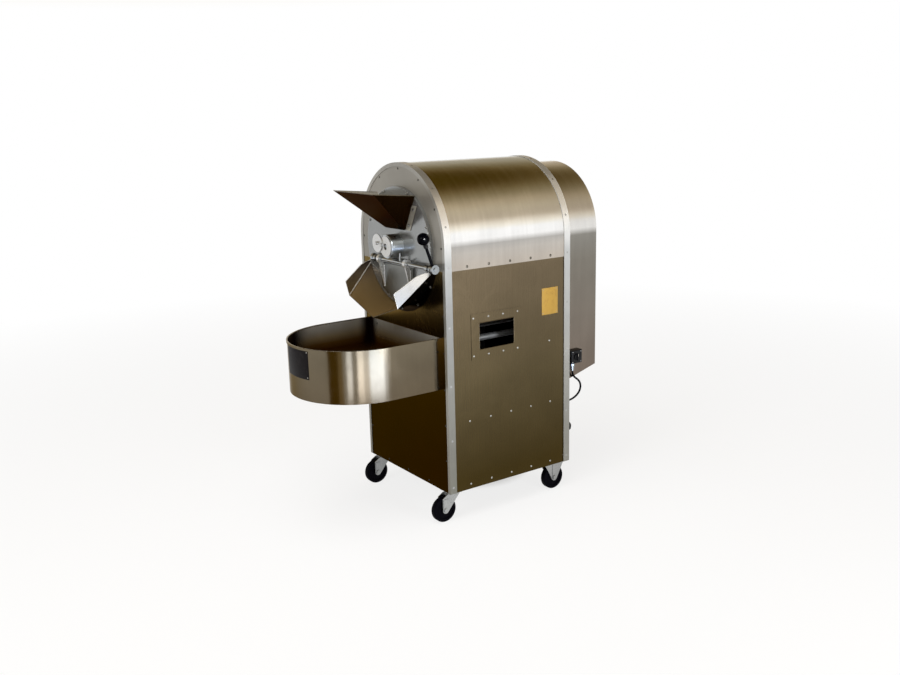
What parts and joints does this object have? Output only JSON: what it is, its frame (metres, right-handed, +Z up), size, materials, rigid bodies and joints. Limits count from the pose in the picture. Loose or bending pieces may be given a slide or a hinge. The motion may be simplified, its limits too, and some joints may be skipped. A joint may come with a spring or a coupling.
{
  "type": "chickpea roaster",
  "caption": "Upright gas drum roaster on casters: arched sheet cabinet, feed hopper, lever-worked discharge door, folded spout and round-fronted receiving pan.",
  "frame": {"origin": "on the floor below the middle of the whole machine", "axes": "+Z up, -Y towards the operator and the receiving pan, +X to the operator's right"},
  "size_m": [0.6, 1.2409, 1.3593],
  "materials": {
    "stainless_sheet": "brushed",
    "satin_steel": "satin",
    "polished_steel": "polished",
    "aluminium_trim": "satin",
    "frame_paint": "satin",
    "cast_iron": "oiled",
    "zinc_plate": "zinc plated",
    "black_rubber": "matte",
    "black_plastic": "gloss",
    "black_enamel": "gloss",
    "valve_brass": "machined"
  },
  "bodies": {
    "cabinet": {"chassis_frame": "frame_paint", "front_panel": "stainless_sheet", "front_plate": "satin_steel", "left_side_panel": "stainless_sheet", "right_side_panel": "stainless_sheet", "window_frame": "stainless_sheet", "arch_cover": "stainless_sheet", "front_edge_trim": "aluminium_trim", "rear_edge_trim": "aluminium_trim", "rear_panel": "stainless_sheet", "drum_jacket": "stainless_sheet", "face_disc": "satin_steel", "hub_housing": "polished_steel", "front_bearing": "polished_steel", "hub_cap": "polished_steel", "rear_bearing": "cast_iron", "hopper": "stainless_sheet", "discharge_spout": "stainless_sheet", "receiving_pan": "stainless_sheet", "rod_brackets": "polished_steel", "burner_tubes": "satin_steel", "gas_manifold": "satin_steel", "gas_pipe": "satin_steel", "gas_valve": "valve_brass", "gas_inlet": "valve_brass", "drive_chain": "cast_iron", "gearmotor": "frame_paint", "motor_bracket": "frame_paint", "drive_housing": "stainless_sheet", "switch_box": "black_plastic", "cable_glands": "zinc_plate", "switch_lead": "black_rubber", "caster_plates": "zinc_plate", "caster_bracket_rear_left": "zinc_plate", "caster_bracket_rear_right": "zinc_plate"},
    "drum": {"drum_shell": "satin_steel", "drum_shaft": "polished_steel", "drum_spider": "satin_steel", "drum_vanes": "satin_steel", "drum_sprocket": "cast_iron"},
    "motor_output": {"motor_sprocket": "cast_iron", "output_shaft": "polished_steel"},
    "discharge_gear": {"door_rod": "polished_steel", "door_straps": "satin_steel", "discharge_door": "satin_steel", "lever_boss": "polished_steel", "lever_arm": "black_enamel", "lever_knob": "black_plastic"},
    "hub_lid": {"hub_swing_cover": "polished_steel"},
    "switch": {"switch_knob": "black_plastic"},
    "gas_control": {"gas_knob": "black_plastic"},
    "fork_front_left": {"caster_fork_front_left": "zinc_plate"},
    "wheel_front_left": {"caster_wheel_front_left": "black_rubber"},
    "wheel_rear_left": {"caster_wheel_rear_left": "black_rubber"},
    "fork_front_right": {"caster_fork_front_right": "zinc_plate"},
    "wheel_front_right": {"caster_wheel_front_right": "black_rubber"},
    "wheel_rear_right": {"caster_wheel_rear_right": "black_rubber"}
  },
  "joints": [
    {"name": "drum_spin", "type": "hinge", "parent": "cabinet", "child": "drum", "pos_m": [0, 0.15, 1.0463], "axis": [0, 1, 0], "continuous": true},
    {"name": "motor_output_spin", "type": "hinge", "parent": "cabinet", "child": "motor_output", "pos_m": [0, 0.4905, 0.71909], "axis": [0, 1, 0], "continuous": true},
    {"name": "door_lever", "type": "hinge", "parent": "cabinet", "child": "discharge_gear", "pos_m": [0, -0.1805, 0.9883], "axis": [1, 0, 0], "range_deg": [-22, 0]},
    {"name": "hub_lid_swing", "type": "hinge", "parent": "cabinet", "child": "hub_lid", "pos_m": [-0.02757, -0.215, 1.05116], "axis": [0, 1, 0], "range_deg": [0, 180]},
    {"name": "switch_turn", "type": "hinge", "parent": "cabinet", "child": "switch", "pos_m": [0.288, 0.5035, 0.55259], "axis": [1, 0, 0], "range_deg": [0, 90]},
    {"name": "gas_turn", "type": "hinge", "parent": "cabinet", "child": "gas_control", "pos_m": [0.247, 0.465, 0.2503], "axis": [0, 1, 0], "range_deg": [0, 90]},
    {"name": "swivel_front_left", "type": "hinge", "parent": "cabinet", "child": "fork_front_left", "pos_m": [-0.255, -0.1135, 0.115], "axis": [0, 0, 1], "continuous": true},
    {"name": "roll_front_left", "type": "hinge", "parent": "fork_front_left", "child": "wheel_front_left", "pos_m": [-0.255, -0.1515, 0.05], "axis": [1, 0, 0], "continuous": true},
    {"name": "roll_rear_left", "type": "hinge", "parent": "cabinet", "child": "wheel_rear_left", "pos_m": [-0.255, 0.396, 0.05], "axis": [1, 0, 0], "continuous": true},
    {"name": "swivel_front_right", "type": "hinge", "parent": "cabinet", "child": "fork_front_right", "pos_m": [0.255, -0.1135, 0.115], "axis": [0, 0, 1], "continuous": true},
    {"name": "roll_front_right", "type": "hinge", "parent": "fork_front_right", "child": "wheel_front_right", "pos_m": [0.255, -0.1515, 0.05], "axis": [1, 0, 0], "continuous": true},
    {"name": "roll_rear_right", "type": "hinge", "parent": "cabinet", "child": "wheel_rear_right", "pos_m": [0.255, 0.396, 0.05], "axis": [1, 0, 0], "continuous": true}
  ],
  "couplings": [
    {"joint": "motor_output_spin", "follows": "drum_spin", "ratio": 2}
  ]
}
